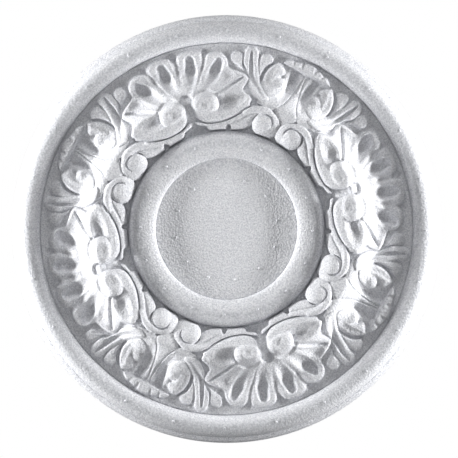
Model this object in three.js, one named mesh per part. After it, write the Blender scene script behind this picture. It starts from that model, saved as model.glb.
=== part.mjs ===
// Moulded foam ceiling rose with a carved ring of shells, acanthus leaves and scrolls.
// Millimetres, +Z up, hanging as on a ceiling: the flat back is at z = 0 and the face looks down.
import * as THREE from 'three';

// Overall size and the outer mouldings, from the edge of the back inwards
const ROSE_RADIUS = 200;
const EDGE_HEIGHT = 4;
const RIM_WIDTH = 5.7;
const RIM_DROP = 6.3;
const TORUS_RADIUS = 10.2;
const TORUS_RISE = 9.5;
const QUIRK_WIDTH = 0.9;
const QUIRK_DEPTH = 1.6;
const LEDGE_HEIGHT = 17.5;

// The recessed seat for a lamp's canopy, and the boss that surrounds it, from the middle outwards
const SEAT_RADIUS = 65.2;
const SEAT_HEIGHT = 22.5;
const BOSS_INNER_WIDTH = 15.1;
const BOSS_OUTER_WIDTH = 11.7;
const BOSS_RISE = 7.7;

// The carved ring: a swelling crest that falls to the ledge outside and to a groove inside
const GROOVE_HEIGHT = 17;
const CREST_WIDTH = 29;
const CREST_RISE = 17.5;
const CREST_FALL = 22;
const GROOVE_STEP = 0.4;
const CARVING_DEPTH = 4.5;
const LEAF_LIFT = 1.2;
const DEEPEST_HOLLOW = 2.25;
const FADE_SHARE = 0.02;

// The ring repeats four times, each repeat is a half and its mirror image, and the half is drawn
// on a fan of 45 degrees
const REPEATS = 4;
const DRAWN_DEGREES = 45;

// Facets
const GRID = 64;
const FACETS_PER_HALF = 930;
const SEGMENTS_PER_HALF = 8;
const TORUS_STEPS = 6;
const RIM_STEPS = 2;
const BOSS_STEPS = 3;
const CURVE_STEPS = 6;
const SOFTENING_PASSES = 3;
const SOFTENING_SHARE = 0.6;

const HALVES = REPEATS * 2;
const HALF_ANGLE = (2 * Math.PI) / HALVES;
const PLAIN_SEGMENTS = HALVES * SEGMENTS_PER_HALF;
const TORUS_CENTRE_RADIUS = ROSE_RADIUS - RIM_WIDTH - TORUS_RADIUS;
const TORUS_CENTRE_HEIGHT = LEDGE_HEIGHT + TORUS_RISE - TORUS_RADIUS;
const RIM_HEIGHT = TORUS_CENTRE_HEIGHT - RIM_DROP;
const QUIRK_RADIUS = TORUS_CENTRE_RADIUS - TORUS_RADIUS - QUIRK_WIDTH;
const BOSS_RADIUS = SEAT_RADIUS + BOSS_INNER_WIDTH;
const BOSS_HEIGHT = SEAT_HEIGHT + BOSS_RISE;
const GROOVE_RADIUS = BOSS_RADIUS + BOSS_OUTER_WIDTH;
const CREST_RADIUS = GROOVE_RADIUS + CREST_WIDTH;
const CREST_HEIGHT = LEDGE_HEIGHT + CREST_RISE;
const BAND_WIDTH = QUIRK_RADIUS - GROOVE_RADIUS;

const ease = (t) => THREE.MathUtils.smoothstep(t, 0, 1);

// Cross-section of the ring: up from the groove to the crest, then down to the foot at the ledge.
// The step is the share of the rise that stands straight up out of the groove.
function hill(radius, crest, foot, step) {
  if (radius < CREST_RADIUS) {
    const rise = Math.sin((((radius - GROOVE_RADIUS) / CREST_WIDTH) * Math.PI) / 2);
    return GROOVE_HEIGHT + (crest - GROOVE_HEIGHT) * (step + (1 - step) * rise);
  }
  return crest + (foot - crest) * ease((radius - CREST_RADIUS) / CREST_FALL);
}

const swell = (radius) => hill(radius, CREST_HEIGHT, LEDGE_HEIGHT + LEAF_LIFT, GROOVE_STEP);
const bed = (radius) => hill(radius, CREST_HEIGHT - CARVING_DEPTH, LEDGE_HEIGHT, 0);

// A place in a half repeat: degrees from the shell's axis, and percent of the way across the ring
function place([degrees, percent]) {
  const angle = (degrees / DRAWN_DEGREES) * HALF_ANGLE;
  const radius = GROOVE_RADIUS + (percent / 100) * BAND_WIDTH;
  return new THREE.Vector2(radius * Math.sin(angle), radius * Math.cos(angle));
}

// A stroke runs along a curve through a few places, with half-widths in percent of the ring's width
function stroke(line, widths, height, top = 1) {
  const path = new THREE.SplineCurve(line.map(place)).getPoints((line.length - 1) * CURVE_STEPS);
  return { path, widths: widths.map((w) => (w / 100) * BAND_WIDTH), height, top };
}

// Nearness to a stroke: 1 on its line, 0 at its edge and beyond
function nearness(point, { path, widths }) {
  let best = 0;
  for (let i = 1; i < path.length; i += 1) {
    const dx = path[i].x - path[i - 1].x;
    const dy = path[i].y - path[i - 1].y;
    const px = point.x - path[i - 1].x;
    const py = point.y - path[i - 1].y;
    const t = THREE.MathUtils.clamp((px * dx + py * dy) / (dx * dx + dy * dy), 0, 1);
    const gap = Math.hypot(px - t * dx, py - t * dy);
    const along = ((i - 1 + t) / (path.length - 1)) * (widths.length - 1);
    const low = Math.min(Math.floor(along), Math.max(widths.length - 2, 0));
    const high = Math.min(low + 1, widths.length - 1);
    const width = THREE.MathUtils.lerp(widths[low], widths[high], along - low);
    best = Math.max(best, 1 - (gap / width) ** 2);
  }
  return best;
}

// Raised forms of one half: each rises from the bed to the swell plus its own height
const FORMS = [
  // shell: two full lobes, the flat facet and the wing
  stroke([[3.2, 44], [4.6, 70], [5.2, 84]], [10, 13, 13], 1.4, 2.4),
  stroke([[7, 44], [11.6, 66], [14.2, 78]], [10, 12.5, 12.5], 1.4, 2.4),
  stroke([[9, 42], [17, 54], [20, 57]], [10, 14, 11], 1, 2.4),
  stroke([[9, 35], [19, 36], [24.5, 38]], [14, 16, 8], 0.8, 2.4),
  // leaf: left lobe, middle lobe with its stem, right lobe, oval lobe and cupped margin
  stroke([[22.8, 74], [20.9, 85]], [6, 8], 0.6, 2),
  stroke([[31, 44], [27.3, 60], [25.7, 87]], [8, 9, 9.5], 1.6, 2),
  stroke([[29.6, 70], [30.7, 85]], [6, 8.5], 0.6, 2),
  stroke([[34, 50], [35, 66], [35.4, 76]], [11, 14.5, 10], 2.4, 2),
  stroke([[37, 44], [41, 56], [41.8, 74]], [8, 10.5, 9.5], -0.4, 2),
  // spike between the leaves
  stroke([[45, 40], [45, 50], [45, 84]], [10, 6, 2], 0.6, 1.4),
  // frond under the shell and the leaf that carries it into the volute
  stroke([[2.6, 8], [9, 5.5], [16, 5.5]], [7, 7, 6.5], 1.4, 2.4),
  stroke([[22.5, 6], [27, 11], [31, 20]], [6, 10, 9], 1.4, 2.4),
  // crest leaf on the ledge
  stroke([[39.5, 90], [43, 92], [45, 93]], [5, 7, 7], 1, 2),
];

// Rolled edges and knobs: the shell's lower rim with its round knob, and the arm of the frond with
// the volute's disc and ball
const ROLLS = [
  stroke([[27.5, 31], [20.5, 19.5], [12, 14.6], [6.5, 16.5], [4.4, 24]], [4, 5, 5.2, 5.2, 4.6], 3),
  stroke([[6.8, 31.4], [9.3, 30.9]], [12.2], 5.2),
  stroke([[26.5, 22], [30, 26.2], [33.5, 28.4], [37, 27.9]], [4, 5, 5.6, 5.6], 3),
  stroke([[38.4, 14], [38.6, 13.8]], [15.7], 4.2),
  stroke([[36.6, 12.8], [36.8, 12.6]], [12.1], 5.6),
];

// Hollows of one half, cut below the forms
const HOLLOWS = [
  // between the shell's lobes
  stroke([[0, 98], [0, 80], [0, 60]], [6, 5.5, 4], 3),
  stroke([[10.2, 92], [9.2, 77], [7.2, 60]], [5, 4.6, 3.6], 2.4),
  // flutes
  stroke([[4.9, 83], [4.6, 72.5], [4.1, 62], [3.4, 53]], [7.6, 8.4, 7.4, 4.2], 6),
  stroke([[14.6, 77.5], [13.4, 70], [11.6, 60.5], [9.6, 51]], [7.2, 8.2, 7.4, 4.2], 5.8),
  stroke([[23.4, 61], [17.6, 49], [13.6, 41]], [3.6, 5, 3.6], 4),
  // hollow of the wing
  stroke([[24, 37], [20.5, 34.6], [17, 32.6], [13.6, 31]], [6.8, 9.4, 9.8, 8.6], 5.4),
  // leaf: midrib, the gap beside the oval lobe, and the cupped margin
  stroke([[25.5, 92], [27.3, 60], [32.6, 43]], [4, 5, 4], 3.8),
  stroke([[30.8, 58], [31.4, 74], [33.4, 86]], [3.4, 4, 3.4], 3.8),
  stroke([[40.4, 47], [41.3, 58], [41.5, 70], [41.2, 80]], [5, 6.4, 7.2, 7.2], 3.2),
  // dimple of the shell's knob, and the crescent between the volute's disc and ball
  stroke([[7.4, 29], [7.9, 24.4]], [5.4], 1.8),
  stroke([[35.4, 24.4], [37.8, 24.8], [40, 22.6], [41.4, 14]], [2.4, 3, 3, 2.4], 3.4),
];

// Height of the carved ring over the back, at a share of the half's angle and of the ring's width
function carvedHeight(angleShare, bandShare) {
  const radius = GROOVE_RADIUS + bandShare * BAND_WIDTH;
  const point = place([angleShare * DRAWN_DEGREES, bandShare * 100]);
  const low = bed(radius);
  const high = swell(radius);
  let height = low;
  for (const form of FORMS) {
    const full = Math.min(1, nearness(point, form) * form.top);
    height = Math.max(height, low + (high + form.height - low) * full);
  }
  for (const roll of ROLLS) {
    const full = Math.sqrt(nearness(point, roll));
    height = Math.max(height, low + (high + roll.height - low) * full);
  }
  for (const hollow of HOLLOWS) {
    height -= hollow.height * nearness(point, hollow);
  }
  const fade = Math.min(1, (1 - bandShare) / FADE_SHARE, bandShare / FADE_SHARE);
  return low + (Math.max(height, low - DEEPEST_HOLLOW) - low) * fade;
}

// Twice the signed area of a triangle on the half's grid of columns and rows
const area = (a, b, c) => (b[0] - a[0]) * (c[1] - a[1]) - (b[1] - a[1]) * (c[0] - a[0]);

// Whether a spot lies inside the circle through a triangle's corners
function circled([a, b, c], spot) {
  const [ax, ay, bx, by, cx, cy] = [a, b, c].flatMap((v) => [v[0] - spot[0], v[1] - spot[1]]);
  return (
    (ax * ax + ay * ay) * (bx * cy - cx * by) -
    (bx * bx + by * by) * (ax * cy - cx * ay) +
    (cx * cx + cy * cy) * (ax * by - bx * ay) > 0
  );
}

// One half of the ring as flat facets: the spot that they miss by most is made a corner, until the
// facets are used up. The facets round each new corner are always those with the roundest shapes.
function halfFacets() {
  const side = GRID + 1;
  let heights = Array.from({ length: side * side }, (_, i) =>
    carvedHeight((i % side) / GRID, Math.floor(i / side) / GRID));
  const heightAt = ([column, row]) => heights[row * side + column];

  // Every edge of the carving is rounded off, as it is in moulded foam
  for (let pass = 0; pass < SOFTENING_PASSES; pass += 1) {
    heights = heights.map((height, i) => {
      const [column, row] = [i % side, Math.floor(i / side)];
      if (row === 0 || row === GRID) {
        return height;
      }
      const left = heightAt([Math.abs(column - 1), row]);
      const right = heightAt([GRID - Math.abs(GRID - column - 1), row]);
      const beside = (left + right + heightAt([column, row - 1]) + heightAt([column, row + 1])) / 4;
      return THREE.MathUtils.lerp(height, beside, SOFTENING_SHARE);
    });
  }

  // A facet with the spot on it that lies furthest from the true height
  const facet = (a, b, c) => {
    const size = area(a, b, c);
    const found = { corners: [a, b, c], miss: 0, worst: 0, spot: null };
    const [left, right] = [Math.min(a[0], b[0], c[0]), Math.max(a[0], b[0], c[0])];
    const [first, last] = [Math.min(a[1], b[1], c[1]), Math.max(a[1], b[1], c[1])];
    for (let row = first; row <= last; row += 1) {
      for (let column = left; column <= right; column += 1) {
        const spot = [column, row];
        const shares = [area(b, c, spot), area(c, a, spot), area(a, b, spot)];
        if (Math.min(...shares) >= 0) {
          const flat =
            (shares[0] * heightAt(a) + shares[1] * heightAt(b) + shares[2] * heightAt(c)) / size;
          const miss = Math.abs(flat - heightAt(spot));
          found.miss += miss;
          if (miss > found.worst) {
            Object.assign(found, { worst: miss, spot });
          }
        }
      }
    }
    return found;
  };

  let facets = [facet([0, 0], [GRID, 0], [GRID, GRID]), facet([0, 0], [GRID, GRID], [0, GRID])];
  const addCorner = (spot) => {
    const opened = facets.filter(({ corners }) => circled(corners, spot));
    const edges = opened.flatMap(({ corners: [a, b, c] }) => [[a, b], [b, c], [c, a]]);
    const name = ([a, b]) => `${a}>${b}`;
    const names = new Set(edges.map(name));
    facets = facets.filter((f) => !opened.includes(f));
    for (const [a, b] of edges) {
      if (!names.has(name([b, a])) && area(a, b, spot) > 0) {
        facets.push(facet(a, b, spot));
      }
    }
  };

  for (let i = 1; i < SEGMENTS_PER_HALF; i += 1) {
    const column = Math.round((i * GRID) / SEGMENTS_PER_HALF);
    addCorner([column, 0]);
    addCorner([column, GRID]);
  }
  while (facets.length < FACETS_PER_HALF) {
    addCorner(facets.reduce((worst, f) => (f.miss > worst.miss ? f : worst)).spot);
  }
  return { facets: facets.map(({ corners }) => corners), heightAt };
}

// Plain rings of the section, as radius and height pairs, from the seat's edge to the groove
function bossSection() {
  const points = [[SEAT_RADIUS, SEAT_HEIGHT]];
  for (let i = 1; i <= BOSS_STEPS; i += 1) {
    const share = i / BOSS_STEPS;
    points.push([
      SEAT_RADIUS + (BOSS_RADIUS - SEAT_RADIUS) * share,
      SEAT_HEIGHT + (BOSS_HEIGHT - SEAT_HEIGHT) * Math.sin((share * Math.PI) / 2),
    ]);
  }
  for (let i = 1; i < BOSS_STEPS; i += 1) {
    const share = i / BOSS_STEPS;
    points.push([
      BOSS_RADIUS + (GROOVE_RADIUS - BOSS_RADIUS) * share,
      GROOVE_HEIGHT + (BOSS_HEIGHT - GROOVE_HEIGHT) * Math.sqrt(1 - share ** 2),
    ]);
  }
  return points;
}

// From the quirk over the torus and the rim to the edge of the back
function outerSection() {
  const points = [[QUIRK_RADIUS + QUIRK_WIDTH / 2, LEDGE_HEIGHT - QUIRK_DEPTH]];
  for (let i = 0; i <= TORUS_STEPS; i += 1) {
    const angle = Math.PI * (1 - i / TORUS_STEPS);
    points.push([
      TORUS_CENTRE_RADIUS + TORUS_RADIUS * Math.cos(angle),
      TORUS_CENTRE_HEIGHT + TORUS_RADIUS * Math.sin(angle),
    ]);
  }
  for (let i = 0; i <= RIM_STEPS; i += 1) {
    const angle = (Math.PI / 2) * (i / RIM_STEPS);
    points.push([
      ROSE_RADIUS - RIM_WIDTH * (1 - Math.sin(angle)),
      EDGE_HEIGHT + (RIM_HEIGHT - EDGE_HEIGHT) * Math.cos(angle),
    ]);
  }
  points.push([ROSE_RADIUS, 0]);
  return points;
}

// The whole rose as one closed mesh
function roseGeometry() {
  const positions = [];
  const faces = [];
  const around = GRID * HALVES;
  const addVertex = (turn, radius, height) => {
    const angle = (turn / around) * 2 * Math.PI;
    positions.push(radius * Math.cos(angle), radius * Math.sin(angle), -height);
    return { turn, id: positions.length / 3 - 1 };
  };
  const addRing = ([radius, height]) =>
    Array.from({ length: PLAIN_SEGMENTS }, (_, i) =>
      addVertex((i * around) / PLAIN_SEGMENTS, radius, height));

  // Joins two rings, the second one further along the section, whatever number of points each has
  const join = (first, second) => {
    const nextTurn = (ring, i) => (i + 1 < ring.length ? ring[i + 1].turn : around);
    let i = 0;
    let j = 0;
    while (i < first.length || j < second.length) {
      const a = first[i % first.length].id;
      const b = second[j % second.length].id;
      if (j >= second.length || (i < first.length && nextTurn(first, i) <= nextTurn(second, j))) {
        i += 1;
        faces.push(a, first[i % first.length].id, b);
      } else {
        j += 1;
        faces.push(a, second[j % second.length].id, b);
      }
    }
  };

  // A flat cap in zigzag, so that no point stands at its centre
  const cap = (ring, turned) => {
    for (let i = 0, j = ring.length - 1; j - i > 1; i += 1, j -= 1) {
      const [a, b, c, d] = [ring[i].id, ring[i + 1].id, ring[j - 1].id, ring[j].id];
      faces.push(...(turned ? [a, b, d] : [a, d, b]));
      if (b !== c) {
        faces.push(...(turned ? [b, c, d] : [b, d, c]));
      }
    }
  };

  // The carved ring: the half's facets, laid round and mirrored in turn
  const { facets, heightAt } = halfFacets();
  const carved = new Map();
  const carvedVertex = (half, [column, row]) => {
    const turn = (half * GRID + (half % 2 ? GRID - column : column)) % around;
    const key = `${turn}:${row}`;
    if (!carved.has(key)) {
      const radius = GROOVE_RADIUS + (row / GRID) * BAND_WIDTH;
      carved.set(key, { row, ...addVertex(turn, radius, heightAt([column, row])) });
    }
    return carved.get(key).id;
  };
  for (let half = 0; half < HALVES; half += 1) {
    for (const corners of facets) {
      const ids = corners.map((spot) => carvedVertex(half, spot));
      faces.push(...(half % 2 ? ids.toReversed() : ids));
    }
  }
  const edgeRing = (row) =>
    [...carved.values()].filter((v) => v.row === row).sort((a, b) => a.turn - b.turn);

  const inner = bossSection().map(addRing);
  const outer = outerSection().map(addRing);
  const rings = [...inner, edgeRing(0)];
  const outerRings = [edgeRing(GRID), ...outer];
  for (const group of [rings, outerRings]) {
    for (let i = 1; i < group.length; i += 1) {
      join(group[i - 1], group[i]);
    }
  }
  cap(rings[0], false);
  cap(outerRings.at(-1), true);

  const geometry = new THREE.BufferGeometry();
  geometry.setAttribute('position', new THREE.Float32BufferAttribute(positions, 3));
  geometry.setIndex(faces);
  geometry.computeVertexNormals();
  return geometry;
}

const foam = new THREE.MeshStandardMaterial({ color: 0xeceef2, roughness: 0.75, metalness: 0 });
foam.name = 'foam';

const rose = new THREE.Mesh(roseGeometry(), foam);
rose.name = 'ceiling_rose';

const part = new THREE.Group();
part.add(rose);

export default part;
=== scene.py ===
import math

import bpy
import numpy as np
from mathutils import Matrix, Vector


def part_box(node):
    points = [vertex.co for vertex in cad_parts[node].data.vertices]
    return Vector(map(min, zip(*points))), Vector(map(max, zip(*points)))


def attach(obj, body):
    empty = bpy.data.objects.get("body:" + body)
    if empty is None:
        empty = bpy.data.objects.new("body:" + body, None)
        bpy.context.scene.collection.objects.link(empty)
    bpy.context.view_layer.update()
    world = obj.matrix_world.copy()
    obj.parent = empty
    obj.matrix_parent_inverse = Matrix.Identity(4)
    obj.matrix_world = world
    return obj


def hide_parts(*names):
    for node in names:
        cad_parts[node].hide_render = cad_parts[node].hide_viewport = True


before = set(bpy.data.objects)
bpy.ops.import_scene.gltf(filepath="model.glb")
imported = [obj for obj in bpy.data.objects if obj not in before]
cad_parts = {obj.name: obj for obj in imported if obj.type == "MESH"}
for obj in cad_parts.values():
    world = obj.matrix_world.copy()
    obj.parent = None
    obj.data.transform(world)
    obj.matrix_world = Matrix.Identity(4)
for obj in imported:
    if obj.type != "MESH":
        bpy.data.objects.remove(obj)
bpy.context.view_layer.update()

# The plain mouldings
# The rose is one moulding in white bead foam, taken from a two-part mould. Its border is a half-round
# torus with a small rim outside it and a flat ledge inside it, and its middle is a raised boss round a
# recessed disc, flat but for a slight dish at its edge. All are turned shapes, so sections are spun.
MM = 0.001
AROUND = 240
merge_gap = 0.01 * MM

_, rose_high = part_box("ceiling_rose")
rose_radius = rose_high.x / MM
edge_height = 4.0
rim_width = 5.7
rim_drop = 6.3
torus_radius = 10.2
torus_rise = 9.5
rim_steps = 6
rim_start = 84
torus_steps = 24
quirk_width = 0.9
quirk_depth = 1.6
quirk_floor = (0.2, 0.6)
ledge_height = 17.5
seat_radius = 65.2
seat_height = 22.5
seat_quirk_width = 0.9
seat_quirk_depth = 0.5
seat_flat_radius = 44.0
seat_dish = 1.0
seat_points = 13
boss_inner_width = 15.1
boss_outer_width = 11.7
boss_rise = 7.7
boss_inner_start = 178
boss_inner_steps = 16
boss_foot_gap = 0.3
shoulder_squareness = 0.7
shoulder_start = 84
shoulder_end = 4
shoulder_points = 13
groove_height = 17.0

torus_middle = rose_radius - rim_width - torus_radius
torus_height = ledge_height + torus_rise - torus_radius
rim_height = torus_height - rim_drop
ledge_edge = torus_middle - torus_radius - quirk_width
boss_radius = seat_radius + boss_inner_width
boss_height = seat_height + boss_rise
groove_radius = boss_radius + boss_outer_width


def arc(middle, low, half_width, rise, start, end, steps):
    """Points on part of an ellipse in the section, as radius and height. Angles in degrees."""
    angles = np.radians(np.linspace(start, end, steps + 1))
    return [(middle + half_width * math.cos(a), low + rise * math.sin(a)) for a in angles]


dish_radii = np.linspace(seat_flat_radius, seat_radius, seat_points)
dish_share = (dish_radii - seat_flat_radius) / (seat_radius - seat_flat_radius)
seat_edge_height = seat_height + seat_dish
boss_inner_flank = arc(
    boss_radius,
    seat_edge_height,
    boss_inner_width - seat_quirk_width,
    boss_rise - seat_dish,
    start=boss_inner_start,
    end=90,
    steps=boss_inner_steps,
)
shoulder_angles = np.radians(np.linspace(shoulder_start, shoulder_end, shoulder_points))
boss_section = (
    list(zip(dish_radii, seat_height + seat_dish * dish_share**2))
    + [(seat_radius + seat_quirk_width / 2, seat_edge_height - seat_quirk_depth)]
    + boss_inner_flank
    + [
        (
            boss_radius + (boss_outer_width - boss_foot_gap) * math.cos(a) ** shoulder_squareness,
            groove_height + (boss_height - groove_height) * math.sin(a) ** shoulder_squareness,
        )
        for a in shoulder_angles
    ]
)
torus_arc = arc(torus_middle, torus_height, torus_radius, torus_radius, start=180, end=0, steps=torus_steps)
rim_arc = arc(
    rose_radius - rim_width,
    edge_height,
    rim_width,
    rim_height - edge_height,
    start=rim_start,
    end=0,
    steps=rim_steps,
)
border_section = (
    [(ledge_edge + side, ledge_height - quirk_depth) for side in quirk_floor]
    + torus_arc
    + [(torus_middle + torus_radius, rim_height)]
    + rim_arc
    + [(rose_radius, 0)]
)


def turned(name, section):
    """A section drawn point by point from one corner, then spun round the middle of the rose."""
    bpy.ops.object.select_all(action="DESELECT")
    (radius, height), *others = section
    bpy.ops.mesh.primitive_plane_add(size=MM, location=(radius * MM, 0, -height * MM))
    piece = bpy.context.object
    piece.name = name
    bpy.ops.object.transform_apply(location=True, rotation=True, scale=True)
    bpy.ops.object.mode_set(mode="EDIT")
    bpy.ops.mesh.merge(type="CENTER")
    for next_radius, next_height in others:
        step = ((next_radius - radius) * MM, 0, (height - next_height) * MM)
        bpy.ops.mesh.extrude_region_move(TRANSFORM_OT_translate={"value": step})
        radius, height = next_radius, next_height
    bpy.ops.mesh.select_all(action="SELECT")
    bpy.ops.mesh.spin(steps=AROUND, angle=2 * math.pi, center=(0, 0, 0), axis=(0, 0, 1))
    bpy.ops.mesh.select_all(action="SELECT")
    bpy.ops.mesh.remove_doubles(threshold=merge_gap)
    bpy.ops.object.mode_set(mode="OBJECT")
    return piece


boss = turned("boss", boss_section)
border = turned("border", border_section)

# The carved ring
# Between the groove and the ledge the mould was carved with four shells, each between two scrolling
# fronds, and with four pairs of acanthus leaves that turn away from a spike. Each shell and each pair
# of leaves is its own mirror image, so one half of a shell and one leaf are drawn, from the middle of
# the shell (0 degrees) to the spike (45 degrees), and copied round the rose.
crest_width = 29.0
crest_rise = 17.5
crest_fall = 21.0
groove_step = 0.4
carving_depth = 4.5
leaf_lift = 1.2
half_angle = 45.0
repeats = 4
columns = 240
rows = 200
facets_kept = 0.19
fade_width = 1.3

crest_radius = groove_radius + crest_width
crest_height = ledge_height + crest_rise


def ease(share):
    """A share from 0 to 1 that starts and ends gently."""
    share = np.clip(share, 0, 1)
    return share * share * (3 - 2 * share)


def hill(radius, crest, foot, step):
    """Section of the ring: up from the groove to the crest, then down to a foot on the ledge.
    The step is the share of the rise that stands straight up beside the groove."""
    rise = np.sin(np.clip((radius - groove_radius) / crest_width, 0, 1) * math.pi / 2)
    inner = groove_height + (crest - groove_height) * (step + (1 - step) * rise)
    outer = crest + (foot - crest) * ease((radius - crest_radius) / crest_fall)
    return np.where(radius < crest_radius, inner, outer)


def curve(points, closed=False, steps=6):
    """A smooth line through places given as degrees and millimetres from the middle of the rose."""
    degrees, radius = np.array(points, float).T
    way = np.column_stack((radius * np.cos(np.radians(degrees)), radius * np.sin(np.radians(degrees))))
    ends = (way[-1:], way[:2]) if closed else (way[:1], way[-1:])
    way = np.vstack((ends[0], way, ends[1]))
    line = []
    for a, b, c, d in zip(way, way[1:], way[2:], way[3:]):
        for t in np.arange(steps) / steps:
            bend = (2 * a - 5 * b + 4 * c - d) * t**2 + (3 * b - a - 3 * c + d) * t**3
            line.append((2 * b + (c - a) * t + bend) / 2)
    return np.array(line if closed else line + [way[-2]])


# One half of the ring, laid out flat: every spot's angle, radius and place
turn, across = np.meshgrid(np.linspace(0, half_angle, columns + 1), np.linspace(0, 1, rows + 1))
reach = groove_radius + across * (ledge_edge - groove_radius)
spot_x = reach * np.cos(np.radians(turn))
spot_y = reach * np.sin(np.radians(turn))
bed = hill(reach, crest_height - carving_depth, ledge_height, 0)
swell = hill(reach, crest_height, ledge_height + leaf_lift, groove_step)


def distance(line, closed=False):
    """How far each spot is from a line, and how far along the line it is from 0 to 1."""
    ends = np.roll(line, -1, 0) if closed else line[1:]
    starts = line if closed else line[:-1]
    lengths = np.hypot(*(ends - starts).T)
    before = np.concatenate(([0], np.cumsum(lengths)))
    nearest = np.full(reach.shape, np.inf)
    along = np.zeros(reach.shape)
    for (x, y), (end_x, end_y), length, passed in zip(starts, ends, lengths, before):
        way_x, way_y = (end_x - x) / length, (end_y - y) / length
        run = np.clip((spot_x - x) * way_x + (spot_y - y) * way_y, 0, length)
        gap = np.hypot(spot_x - x - run * way_x, spot_y - y - run * way_y)
        closer = gap < nearest
        nearest = np.where(closer, gap, nearest)
        along = np.where(closer, (passed + run) / before[-1], along)
    return nearest, along


def inset(outline):
    """How far each spot lies inside an outline; below 0 outside it."""
    line = curve(outline, closed=True)
    gap, _ = distance(line, closed=True)
    within = np.zeros(reach.shape, bool)
    for (x, y), (end_x, end_y) in zip(line, np.roll(line, -1, 0)):
        if y != end_y:
            crossed = (y > spot_y) != (end_y > spot_y)
            within ^= crossed & (spot_x < (end_x - x) * (spot_y - y) / (end_y - y) + x)
    return np.where(within, gap, -gap)


def spread(values, along):
    """Values that are given at even steps of a line, read at each spot's place along it."""
    return np.interp(along, np.linspace(0, 1, len(values)), values)


def lobe(height, outline, lift, crown, run, edge=1.4):
    """Adds a puffed lobe with a soft edge. It stands lift over the swell, and crown more from run
    inwards, all in millimetres."""
    depth = inset(outline)
    top = swell + lift + crown * np.sqrt(1 - (1 - np.clip(depth / run, 0, 1)) ** 2)
    return height + (top - height) * ease(depth / edge + 0.5)


def cut(height, line, widths, depths, softness=1.5):
    """Cuts a round-bottomed hollow along a line; at a softness of 1 its edges are sharp."""
    gap, along = distance(curve(line))
    full = np.clip(1 - (gap / spread(widths, along)) ** 2, 0, 1)
    return height - spread(depths, along) * full**softness


def rolled(height, line, widths, feet, rise):
    """Lays a round roll along a line: its feet stand over the swell, and its back is rise higher."""
    gap, along = distance(curve(line))
    width = spread(widths, along)
    back = swell + spread(feet, along) + rise * np.sqrt(np.clip(1 - (gap / width) ** 2, 0, 1))
    return np.where(gap < width, np.maximum(height, back), height)


relief = bed.copy()

# Crest leaf on the ledge, past the thin end of the spike
relief = lobe(
    relief,
    [(36.6, 164), (38.4, 168.5), (40.6, 169.4), (42.3, 170.8), (44, 172), (46.5, 172), (46.5, 160.5),
     (43.6, 161.4), (42.3, 161.2), (40.4, 162), (38.4, 162.5)],
    lift=2.0, crown=2.2, run=3.0, edge=1.6,
)
relief = cut(relief, [(39.7, 169), (40.1, 164.5)], [1.9, 2.4], [1.5, 0.6])
relief = cut(relief, [(42.6, 171), (42.8, 165.5)], [2.1, 2.4], [1.8, 0.6])

# Spike that hangs between the two leaves of a pair
relief = lobe(
    relief,
    [(44.0, 109), (40.8, 114.5), (39.4, 119), (39.6, 122), (41.1, 124.5), (42.8, 131), (43.9, 140.5),
     (44.5, 150), (44.7, 158), (45.3, 158), (45.5, 150), (46.1, 140.5), (47.2, 131), (48.9, 124.5),
     (50.4, 122), (50.6, 119), (49.2, 114.5), (46.0, 109)],
    lift=-0.4, crown=1.2, run=4,
)

# Leaf: cupped margin beside the spike
relief = lobe(
    relief,
    [(30.5, 124), (33, 119.5), (36.4, 117), (39.2, 118.5), (40.8, 123.5), (42.4, 130), (43.4, 137.5),
     (44, 147), (44.3, 158), (41, 158.5), (38, 157.5), (33, 150)],
    lift=-0.2, crown=0.6, run=2.4,
)
relief = cut(
    relief,
    [(40.4, 130), (41.3, 139), (41.5, 149), (41.2, 157)],
    [4.0, 5.2, 6.0, 6.0],
    [1.4, 2.8, 4.0, 3.8],
)

# Leaf: oval lobe with its vein, crease and notch
relief = lobe(
    relief,
    [(31, 137), (31.1, 147), (32.6, 156), (35.3, 163), (37.4, 159.5), (38.2, 154.5), (37.2, 150.5),
     (38.9, 148.5), (40.1, 143.5), (39.8, 137), (38.2, 131.5), (35.5, 129), (33, 129.5), (31.6, 133)],
    lift=0.4, crown=3.4, run=8, edge=1.5,
)
relief = cut(relief, [(33.2, 137), (33.2, 147), (34.6, 157)], [2.2, 3.4, 2.4], [0.3, 0.9, 0.5])
relief = rolled(relief, [(36.0, 139.5), (37.4, 143)], [5.8, 5.2], [1.4], rise=3.0)
relief = cut(relief, [(37.4, 151), (35.9, 148), (34.9, 143.5)], [1.8, 2.2, 1.8], [1.0, 0.7, 0.2])

# Leaf: right and left lobes, then the middle lobe with its stem and midrib
relief = lobe(
    relief,
    [(28.5, 150), (28.7, 165), (30.4, 168.5), (32.6, 166), (33.2, 161), (31.3, 154.5), (30.4, 146),
     (29.8, 140.5)],
    lift=0.2, crown=2.2, run=4,
)
relief = lobe(
    relief,
    [(23.2, 153.5), (23.3, 160), (22.6, 164.8), (20.9, 166.6), (19.2, 164.4), (18.7, 159.5), (19.6, 155.5),
     (21.6, 153), (24, 148.5)],
    lift=0.2, crown=2.2, run=4,
)
relief = lobe(
    relief,
    [(23.3, 155.5), (23.5, 167), (25.6, 172), (27.9, 168.5), (28.3, 159.5), (29.5, 148), (31, 139),
     (34, 131), (35.5, 126), (32.5, 123.5), (29.5, 124.5), (27.3, 129.5), (25.9, 135.5), (25.9, 142.5),
     (24.6, 150)],
    lift=0.6, crown=2.2, run=3.4,
)
relief = cut(
    relief,
    [(25.6, 167), (26, 155.5), (27.3, 142.5), (30.4, 132), (33, 127)],
    [1.6, 2.8, 3.2, 2.8, 1.4],
    [2.0, 4.0, 3.0, 1.5, 0.3],
)
relief = cut(
    relief,
    [(30.3, 140), (30.7, 148), (31.8, 156), (33.8, 161.5)],
    [1.0, 1.9, 1.9, 1.4],
    [0.6, 3.0, 3.0, 2.0],
)

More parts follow.
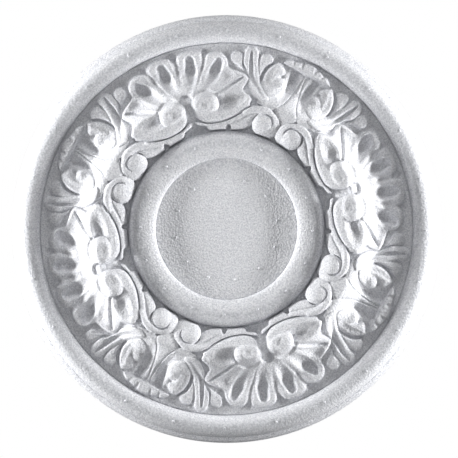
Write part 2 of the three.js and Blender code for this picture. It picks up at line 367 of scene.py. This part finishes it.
# Shell: its whole body, with the lobes' tips on the ledge and the wing beside the leaf
relief = lobe(
    relief,
    [(-3, 165), (0, 163.5), (1.4, 167.5), (3.2, 169.6), (5.2, 170.2), (7.2, 169.4), (9, 167),
     (10.2, 163.6), (11.6, 165), (13.4, 165.9), (15.4, 165), (17, 161.8), (17.9, 157.5), (18.2, 152.5),
     (19.2, 149.5), (21.5, 147.5), (24.2, 145.5), (25.9, 142), (25.6, 137.5), (24.9, 134), (24.4, 131),
     (25.6, 128), (28.3, 124), (28.2, 120.5), (26.8, 115), (24.5, 110), (21.5, 105.5), (17.5, 102),
     (12.5, 100.5), (7.4, 101), (4.2, 103.5), (2.6, 107.5), (2.1, 113), (2.3, 119), (2.6, 123),
     (1.9, 126.5), (0, 128), (-3, 128)],
    lift=0.6, crown=2.4, run=3.6, edge=1.6,
)

# Shell: its lobes dip outside the crest and rise again to their tips
relief = cut(relief, [(-2, 151.5), (5, 151.5), (11, 150.5), (17, 148)], [10.5], [3.0], softness=2)

# Shell: valleys between the lobes, and the flute in each lobe
relief = cut(relief, [(0, 168.5), (0, 154.5), (0, 140.5)], [5.2, 4.6, 2.8], [2.2, 1.6, 0.2], softness=2)
relief = cut(
    relief,
    [(10.2, 166), (9.2, 154.5), (7.3, 142.5), (5.4, 133)],
    [4.4, 3.6, 2.6, 1.4],
    [2.0, 1.4, 1.0, 0.2],
    softness=2,
)
relief = cut(
    relief,
    [(4.9, 160), (4.6, 151), (4.1, 143), (3.4, 135.5)],
    [6.2, 7.6, 7.0, 4.4],
    [6.0, 5.8, 3.4, 0.8],
    softness=1.6,
)
relief = cut(
    relief,
    [(14.9, 155.5), (13.5, 149), (11.7, 141), (9.5, 132.5)],
    [5.8, 7.2, 6.8, 4.4],
    [5.8, 5.8, 3.6, 1.0],
    softness=1.6,
)
relief = cut(relief, [(19.5, 143.5), (16.5, 137), (13, 129.5)], [5.6, 4.8, 2.8], [1.2, 1.6, 0.6])
relief = cut(
    relief,
    [(23.6, 142), (21, 137), (17.3, 131), (13.6, 125.5)],
    [1.6, 2.7, 3.0, 2.2],
    [1.8, 4.2, 4.6, 2.4],
)
relief = cut(
    relief,
    [(24, 122), (20.5, 120), (17, 118.4), (13.6, 117)],
    [6, 8.4, 9, 8],
    [2.2, 4.6, 5.6, 5.4],
)

# Shell: the slot between its two knobs starts in a soft hollow
relief = lobe(
    relief,
    [(-2, 128.5), (1.4, 128.5), (2.2, 125), (1.6, 120), (-2, 120)],
    lift=-2.8, crown=0.4, run=3, edge=4,
)
relief = cut(relief, [(-2, 130), (2, 130)], [5.5], [1.8], softness=2)

# Shell: the lower edge rolls up into a round knob with a shallow dimple
relief = rolled(
    relief,
    [(27.3, 117.5), (24.2, 112), (20.3, 107.5), (15.5, 104.3), (11, 103.6), (7.4, 104.6), (5, 107.8),
     (4.4, 112)],
    [2.1, 2.6, 3.0, 3.4, 3.8, 4.0, 4.0, 3.6],
    [-0.5, -0.3, 0.0, 0.2, 0.2, 0.2, 0.2, 0.0],
    rise=3.0,
)
relief = cut(
    relief,
    [(2.6, 125), (5, 128.2), (8.4, 129), (11.8, 126.4), (14, 121.5), (14.6, 117)],
    [1.8, 2.8, 3.0, 3.0, 3.0, 2.4],
    [0.8, 2.2, 2.8, 2.8, 2.6, 1.4],
)
relief = rolled(relief, [(6.2, 117.8), (9.3, 117)], [9.9], [-0.8], rise=7.0)
relief = cut(relief, [(6.6, 117.2), (8.2, 116.4)], [6.2, 6.2], [2.0, 2.0], softness=2)

# Frond that runs under the shell and lifts into the volute
relief = lobe(
    relief,
    [(1.2, 103.5), (1.8, 100), (4.2, 98.5), (6.2, 97), (7.2, 94), (10, 92.5), (14, 92.5), (16.8, 92.6),
     (18.2, 96.8), (19.4, 96.8), (20.6, 92.6), (23.2, 93), (26.4, 94), (29.3, 96.5), (31.2, 100),
     (31.3, 106), (33.3, 111.5), (36, 114.5), (33, 118), (29.8, 117), (27.2, 113.5), (24.4, 108.5),
     (21, 104), (17, 101), (12, 99.5), (7, 100), (4, 102)],
    lift=0.4, crown=1.6, run=3.7, edge=1.5,
)
relief = cut(
    relief,
    [(19.5, 97), (24.5, 101.5), (28.6, 107), (32, 110.8)],
    [0.8, 1.6, 1.9, 1.2],
    [0.4, 1.2, 1.6, 0.8],
)

# Volute: the frond curls over into a round button, with a ball in its middle and a short crescent cut
relief = rolled(
    relief,
    [(26.5, 110), (30, 113.2), (33.5, 115), (37, 114.6), (40, 111.5)],
    [2.4, 3.2, 3.8, 4.0, 4.0],
    [0.0, 0.0, 0.0, -0.2, -0.6],
    rise=3.2,
)
relief = rolled(relief, [(38.4, 103.3), (38.6, 103.1)], [12.7], [-0.8], rise=5.0)
relief = rolled(relief, [(36.6, 102.3), (36.8, 102.1)], [9.8], [0.6], rise=5.0)
relief = cut(
    relief,
    [(35.4, 111.8), (37.8, 112.1), (39.9, 110.4), (41.1, 107), (41.4, 103.2)],
    [0.9, 1.3, 1.5, 1.4, 0.9],
    [0.8, 2.8, 3.4, 2.8, 0.6],
)

# Crease where the shell's rolled edge lies on the frond
relief = cut(
    relief,
    [(28.6, 119.5), (26.6, 114), (24.3, 109.5), (21, 105), (17, 101.5), (12, 100), (7, 100.5), (4, 102.5)],
    [1.0, 1.3, 1.3, 1.3, 1.3, 1.3, 1.3, 1.0],
    [0.6, 1.6, 1.8, 1.8, 1.8, 1.8, 1.6, 0.4],
)

# The carving fades out at the groove and at the ledge, where it meets the plain mouldings
fade = np.clip(np.minimum(reach - groove_radius, ledge_edge - reach) / fade_width, 0, 1)
relief = bed + (relief - bed) * fade

# The half is a fine sheet lifted to that relief, then thinned where it is nearly flat
bpy.ops.object.select_all(action="DESELECT")
bpy.ops.mesh.primitive_grid_add(x_subdivisions=columns, y_subdivisions=rows, size=2, location=(0, 0, 0))
carving = bpy.context.object
carving.name = "carving"
carving.data.vertices.foreach_set(
    "co", np.column_stack((spot_x.ravel(), spot_y.ravel(), -relief.ravel())).ravel() * MM
)
border_row = (across == 0) | (across == 1) | (turn == 0) | (turn == half_angle)
bpy.ops.object.mode_set(mode="EDIT")
bpy.ops.mesh.select_mode(type="VERT")
bpy.ops.mesh.select_all(action="DESELECT")
bpy.ops.object.mode_set(mode="OBJECT")
carving.data.vertices.foreach_set("select", ~border_row.ravel())
bpy.ops.object.mode_set(mode="EDIT")
bpy.ops.mesh.decimate(ratio=facets_kept)
bpy.ops.object.mode_set(mode="OBJECT")

mirror = carving.modifiers.new("other half", "MIRROR")
mirror.use_axis = (False, True, False)
mirror.merge_threshold = merge_gap
bpy.ops.object.modifier_apply(modifier=mirror.name)
bpy.ops.object.mode_set(mode="EDIT")
bpy.ops.mesh.select_all(action="SELECT")
copies = repeats - 1
copied_angle = copies * 2 * math.pi / repeats
bpy.ops.mesh.spin(steps=copies, dupli=True, angle=copied_angle, center=(0, 0, 0), axis=(0, 0, 1))
bpy.ops.mesh.select_all(action="SELECT")
bpy.ops.mesh.remove_doubles(threshold=merge_gap)
bpy.ops.object.mode_set(mode="OBJECT")

# One moulding
# The mould gives the carving, the boss and the border as one skin. Their open edges are bridged, the
# recessed disc closes the middle, and the back is cut flat, to be glued to the ceiling.
bpy.ops.object.select_all(action="DESELECT")
for piece in (boss, border, carving):
    piece.select_set(True)
bpy.context.view_layer.objects.active = carving
bpy.ops.object.join()
rose = bpy.context.object
rose.name = "moulded_rose"
joint_reach = 1.5
closed_reach = 1.0
smooth_angle = 38


def select_open_edges(inner, outer):
    """Selects the open edges whose ends both lie between two radii, in millimetres."""
    bpy.ops.object.mode_set(mode="EDIT")
    bpy.ops.mesh.select_mode(type="EDGE")
    bpy.ops.mesh.select_all(action="DESELECT")
    bpy.ops.mesh.select_non_manifold()
    bpy.ops.object.mode_set(mode="OBJECT")
    for edge in rose.data.edges:
        if edge.select:
            ends = [math.hypot(*rose.data.vertices[v].co.xy) / MM for v in edge.vertices]
            edge.select = inner < min(ends) and max(ends) < outer
    for vertex in rose.data.vertices:
        vertex.select = False
    for edge in rose.data.edges:
        if edge.select:
            for v in edge.vertices:
                rose.data.vertices[v].select = True
    bpy.ops.object.mode_set(mode="EDIT")


for joint_radius in (groove_radius, ledge_edge):
    select_open_edges(joint_radius - joint_reach, joint_radius + joint_reach)
    bpy.ops.mesh.bridge_edge_loops()
for closed_radius in (seat_flat_radius, rose_radius):
    select_open_edges(closed_radius - closed_reach, closed_radius + closed_reach)
    bpy.ops.mesh.edge_face_add()
    bpy.ops.mesh.poke()
bpy.ops.mesh.select_all(action="SELECT")
bpy.ops.mesh.normals_make_consistent(inside=False)
bpy.ops.object.mode_set(mode="OBJECT")
bpy.ops.object.select_all(action="DESELECT")
rose.select_set(True)
bpy.ops.object.shade_smooth_by_angle(angle=math.radians(smooth_angle))

# Nibs
# Small round nibs stand where the foam was pushed through the mould's vents: on the torus, on the
# boss and on the disc, evenly spaced. Each ring gives its radius, height, number and turn in degrees.
nib_radius = 1.2
nib_rise = 1.2
torus_nib_shift = 1.4
torus_nib_sink = 0.1
boss_nib_shift = 0.3
disc_nib_radius = 47.8
nib_rings = (
    (torus_middle + torus_nib_shift, torus_height + torus_radius - torus_nib_sink, 24, 3.0),
    (boss_radius - boss_nib_shift, boss_height, 16, -3.8),
    (disc_nib_radius, seat_height, 12, 8.0),
)
nibs = []
for radius, height, count, offset in nib_rings:
    for i in range(count):
        angle = math.radians(offset + 360 * i / count)
        place = (radius * math.cos(angle) * MM, radius * math.sin(angle) * MM, -height * MM)
        bpy.ops.object.select_all(action="DESELECT")
        bpy.ops.mesh.primitive_uv_sphere_add(
            segments=8, ring_count=4, radius=nib_radius * MM, location=place
        )
        nib = bpy.context.object
        nib.scale.z = nib_rise / nib_radius
        bpy.ops.object.transform_apply(location=True, rotation=True, scale=True)
        bpy.ops.object.shade_smooth()
        nibs.append(nib)
bpy.ops.object.select_all(action="DESELECT")
for nib in nibs:
    nib.select_set(True)
rose.select_set(True)
bpy.context.view_layer.objects.active = rose
bpy.ops.object.join()

# White bead foam
# The skin is matt, with a grain of pressed beads one to two millimetres across. The crests of the
# torus and of the boss carry painted shade: their colour is made greyer there in coarse specks.
bead_scale = 520
grain_scale = 750
speck_scale = 480
relief_depth = 0.4 * MM
dark_grain = (0.60, 0.61, 0.65)
pale_grain = (0.96, 0.965, 0.985)
# The grey of the painted shade on the crests of the torus and of the boss, and its weights: none, faint and
# full
painted_crest_shade_grey = (0.55, 0.56, 0.59)
smooth, faint, full_crest_shade = (0, 0, 0), (0.3, 0.3, 0.3), (1, 1, 1)

foam = bpy.data.materials.new("white_bead_foam")
foam.use_nodes = True
nodes, links = foam.node_tree.nodes, foam.node_tree.links
shader = nodes["Principled BSDF"]
shader.inputs["Roughness"].default_value = 0.72
shader.inputs["Specular IOR Level"].default_value = 0.3
coordinates = nodes.new("ShaderNodeTexCoord")


def foam_ramp(stops, source):
    """A colour ramp on the foam, with its stops as positions and colours."""
    ramp = nodes.new("ShaderNodeValToRGB")
    while len(ramp.color_ramp.elements) < len(stops):
        ramp.color_ramp.elements.new(0.5)
    for element, (position, colour) in zip(ramp.color_ramp.elements, stops):
        element.position = position
        element.color = (*colour, 1)
    links.new(source, ramp.inputs["Fac"])
    return ramp.outputs["Color"]


def foam_noise(scale, detail):
    """Fine noise in the foam, fixed to the object."""
    noise = nodes.new("ShaderNodeTexNoise")
    noise.inputs["Scale"].default_value = scale
    noise.inputs["Detail"].default_value = detail
    links.new(coordinates.outputs["Object"], noise.inputs["Vector"])
    return noise.outputs["Fac"]


beads = nodes.new("ShaderNodeTexVoronoi")
beads.inputs["Scale"].default_value = bead_scale
links.new(coordinates.outputs["Object"], beads.inputs["Vector"])
grain = foam_noise(scale=grain_scale, detail=3)
grain_tone = foam_ramp([(0.32, dark_grain), (0.66, pale_grain)], grain)

# The painted shade on the crests is placed by its share of the rose's radius, and only on the face
flattened = nodes.new("ShaderNodeVectorMath")
flattened.operation = "MULTIPLY"
flattened.inputs[1].default_value = (1 / (rose_radius * MM), 1 / (rose_radius * MM), 0)
links.new(coordinates.outputs["Object"], flattened.inputs[0])
radius_share = nodes.new("ShaderNodeVectorMath")
radius_share.operation = "LENGTH"
links.new(flattened.outputs["Vector"], radius_share.inputs[0])
# Bands of painted shade over the crest of the boss and the crest of the torus
boss_shade_middle = boss_radius + 1
boss_shade_reach = 7
torus_shade_reach = 7
crest_shade_places = [
    (boss_shade_middle - boss_shade_reach, smooth),
    (boss_shade_middle, full_crest_shade),
    (boss_shade_middle + boss_shade_reach, smooth),
    (torus_middle - torus_shade_reach, smooth),
    (torus_middle, full_crest_shade),
    (torus_middle + torus_shade_reach, smooth),
]
crest_shade = foam_ramp([(r / rose_radius, tone) for r, tone in crest_shade_places], radius_share.outputs["Value"])

heights = nodes.new("ShaderNodeSeparateXYZ")
links.new(coordinates.outputs["Object"], heights.inputs["Vector"])
on_face = nodes.new("ShaderNodeMath")
on_face.operation = "LESS_THAN"
on_face.inputs[1].default_value = -ledge_height * MM
links.new(heights.outputs["Z"], on_face.inputs[0])
face_crest_shade = nodes.new("ShaderNodeMath")
face_crest_shade.operation = "MULTIPLY"
links.new(crest_shade, face_crest_shade.inputs[0])
links.new(on_face.outputs["Value"], face_crest_shade.inputs[1])

# The painted shade on the crests is broken into grey specks, like coarse grain
shade_specks = foam_ramp([(0.46, faint), (0.62, full_crest_shade)], foam_noise(scale=speck_scale, detail=2))
shade_speck_share = nodes.new("ShaderNodeMath")
shade_speck_share.operation = "MULTIPLY"
links.new(face_crest_shade.outputs["Value"], shade_speck_share.inputs[0])
links.new(shade_specks, shade_speck_share.inputs[1])
# The grain's colour is mixed with the grey of the painted crest shade
tone = nodes.new("ShaderNodeMix")
tone.data_type = "RGBA"
links.new(shade_speck_share.outputs["Value"], tone.inputs["Factor"])
tone_inputs = [socket for socket in tone.inputs if socket.type == "RGBA"]
links.new(grain_tone, tone_inputs[0])
tone_inputs[1].default_value = (*painted_crest_shade_grey, 1)
tone_outputs = [socket for socket in tone.outputs if socket.type == "RGBA"]
links.new(tone_outputs[0], shader.inputs["Base Color"])

bead_bump = nodes.new("ShaderNodeBump")
bead_bump.inputs["Strength"].default_value = 1.0
bead_bump.inputs["Distance"].default_value = relief_depth
bead_bump.invert = True
links.new(beads.outputs["Distance"], bead_bump.inputs["Height"])
grain_bump = nodes.new("ShaderNodeBump")
grain_bump.inputs["Strength"].default_value = 0.7
grain_bump.inputs["Distance"].default_value = relief_depth
links.new(grain, grain_bump.inputs["Height"])
links.new(bead_bump.outputs["Normal"], grain_bump.inputs["Normal"])
links.new(grain_bump.outputs["Normal"], shader.inputs["Normal"])

rose.data.materials.clear()
rose.data.materials.append(foam)
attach(rose, "root")
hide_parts("ceiling_rose")

# Camera
# The photograph looks straight up at the rose, which fills the picture a little left of its middle.
picture_side = 458
rose_across = 427.4
rose_left_shift = 2.5
lens = 400
sensor = 36
roll = math.radians(17.5)

camera_data = bpy.data.cameras.new("camera")
camera_data.lens = lens
camera_data.sensor_width = sensor
camera_data.shift_x = rose_left_shift / picture_side
camera_data.clip_end = 100
camera = bpy.data.objects.new("camera", camera_data)
bpy.context.scene.collection.objects.link(camera)
bpy.context.scene.camera = camera
view_width = 2 * rose_radius * MM * picture_side / rose_across
camera_distance = view_width * lens / sensor
camera.location = (0, 0, -camera_distance)
camera.rotation_euler = (math.pi, 0, math.pi + roll)

# Studio
# Two long soft boxes stand low at the left and right of the picture. Weaker ones stand at its top and
# foot and beside the camera, in a pale room with a white backdrop. One above the ceiling lights the back.
picture_right = Vector((-math.cos(roll), -math.sin(roll), 0))
picture_up = Vector((-math.sin(roll), math.cos(roll), 0))


def soft_box(name, direction, elevation, distance, width, height, strength):
    """A soft box on one side of the rose, aimed at its middle. Elevation is in degrees below the
    ceiling, the rest in metres, and the strength is the same for any distance."""
    light = bpy.data.lights.new(name, "AREA")
    light.shape = "RECTANGLE"
    light.size = width
    light.size_y = height
    light.energy = strength * (math.pi * distance) ** 2
    box = bpy.data.objects.new(name, light)
    bpy.context.scene.collection.objects.link(box)
    rise = math.radians(elevation)
    away = direction * math.cos(rise) - Vector((0, 0, math.sin(rise)))
    box.location = away * distance
    box.rotation_euler = away.to_track_quat("Z", "Y").to_euler()


for side, direction in (("left_box", -picture_right), ("right_box", picture_right)):
    soft_box(side, direction, elevation=12, distance=1.0, width=0.75, height=0.06, strength=1.44)
soft_box("top_box", picture_up, elevation=18, distance=2.0, width=1.2, height=0.25, strength=0.25)
soft_box("foot_box", -picture_up, elevation=24, distance=2.0, width=1.2, height=0.6, strength=0.06)
soft_box("front_box", picture_up, elevation=80, distance=3.0, width=1.5, height=1.5, strength=0.15)
soft_box("overhead", picture_up, elevation=-70, distance=2.0, width=1.5, height=1.5, strength=0.6)

world = bpy.data.worlds.new("studio")
bpy.context.scene.world = world
world.use_nodes = True
sky, sky_links = world.node_tree.nodes, world.node_tree.links
room = sky["Background"]
room.inputs["Color"].default_value = (0.96, 0.97, 1.0, 1)
room.inputs["Strength"].default_value = 0.08
backdrop = sky.new("ShaderNodeBackground")
backdrop.inputs["Color"].default_value = (1, 1, 1, 1)
backdrop.inputs["Strength"].default_value = 1.0
seen = sky.new("ShaderNodeLightPath")
choice = sky.new("ShaderNodeMixShader")
sky_links.new(seen.outputs["Is Camera Ray"], choice.inputs["Fac"])
sky_links.new(room.outputs["Background"], choice.inputs[1])
sky_links.new(backdrop.outputs["Background"], choice.inputs[2])
sky_links.new(choice.outputs["Shader"], sky["World Output"].inputs["Surface"])
bpy.context.scene.view_settings.view_transform = "Standard"
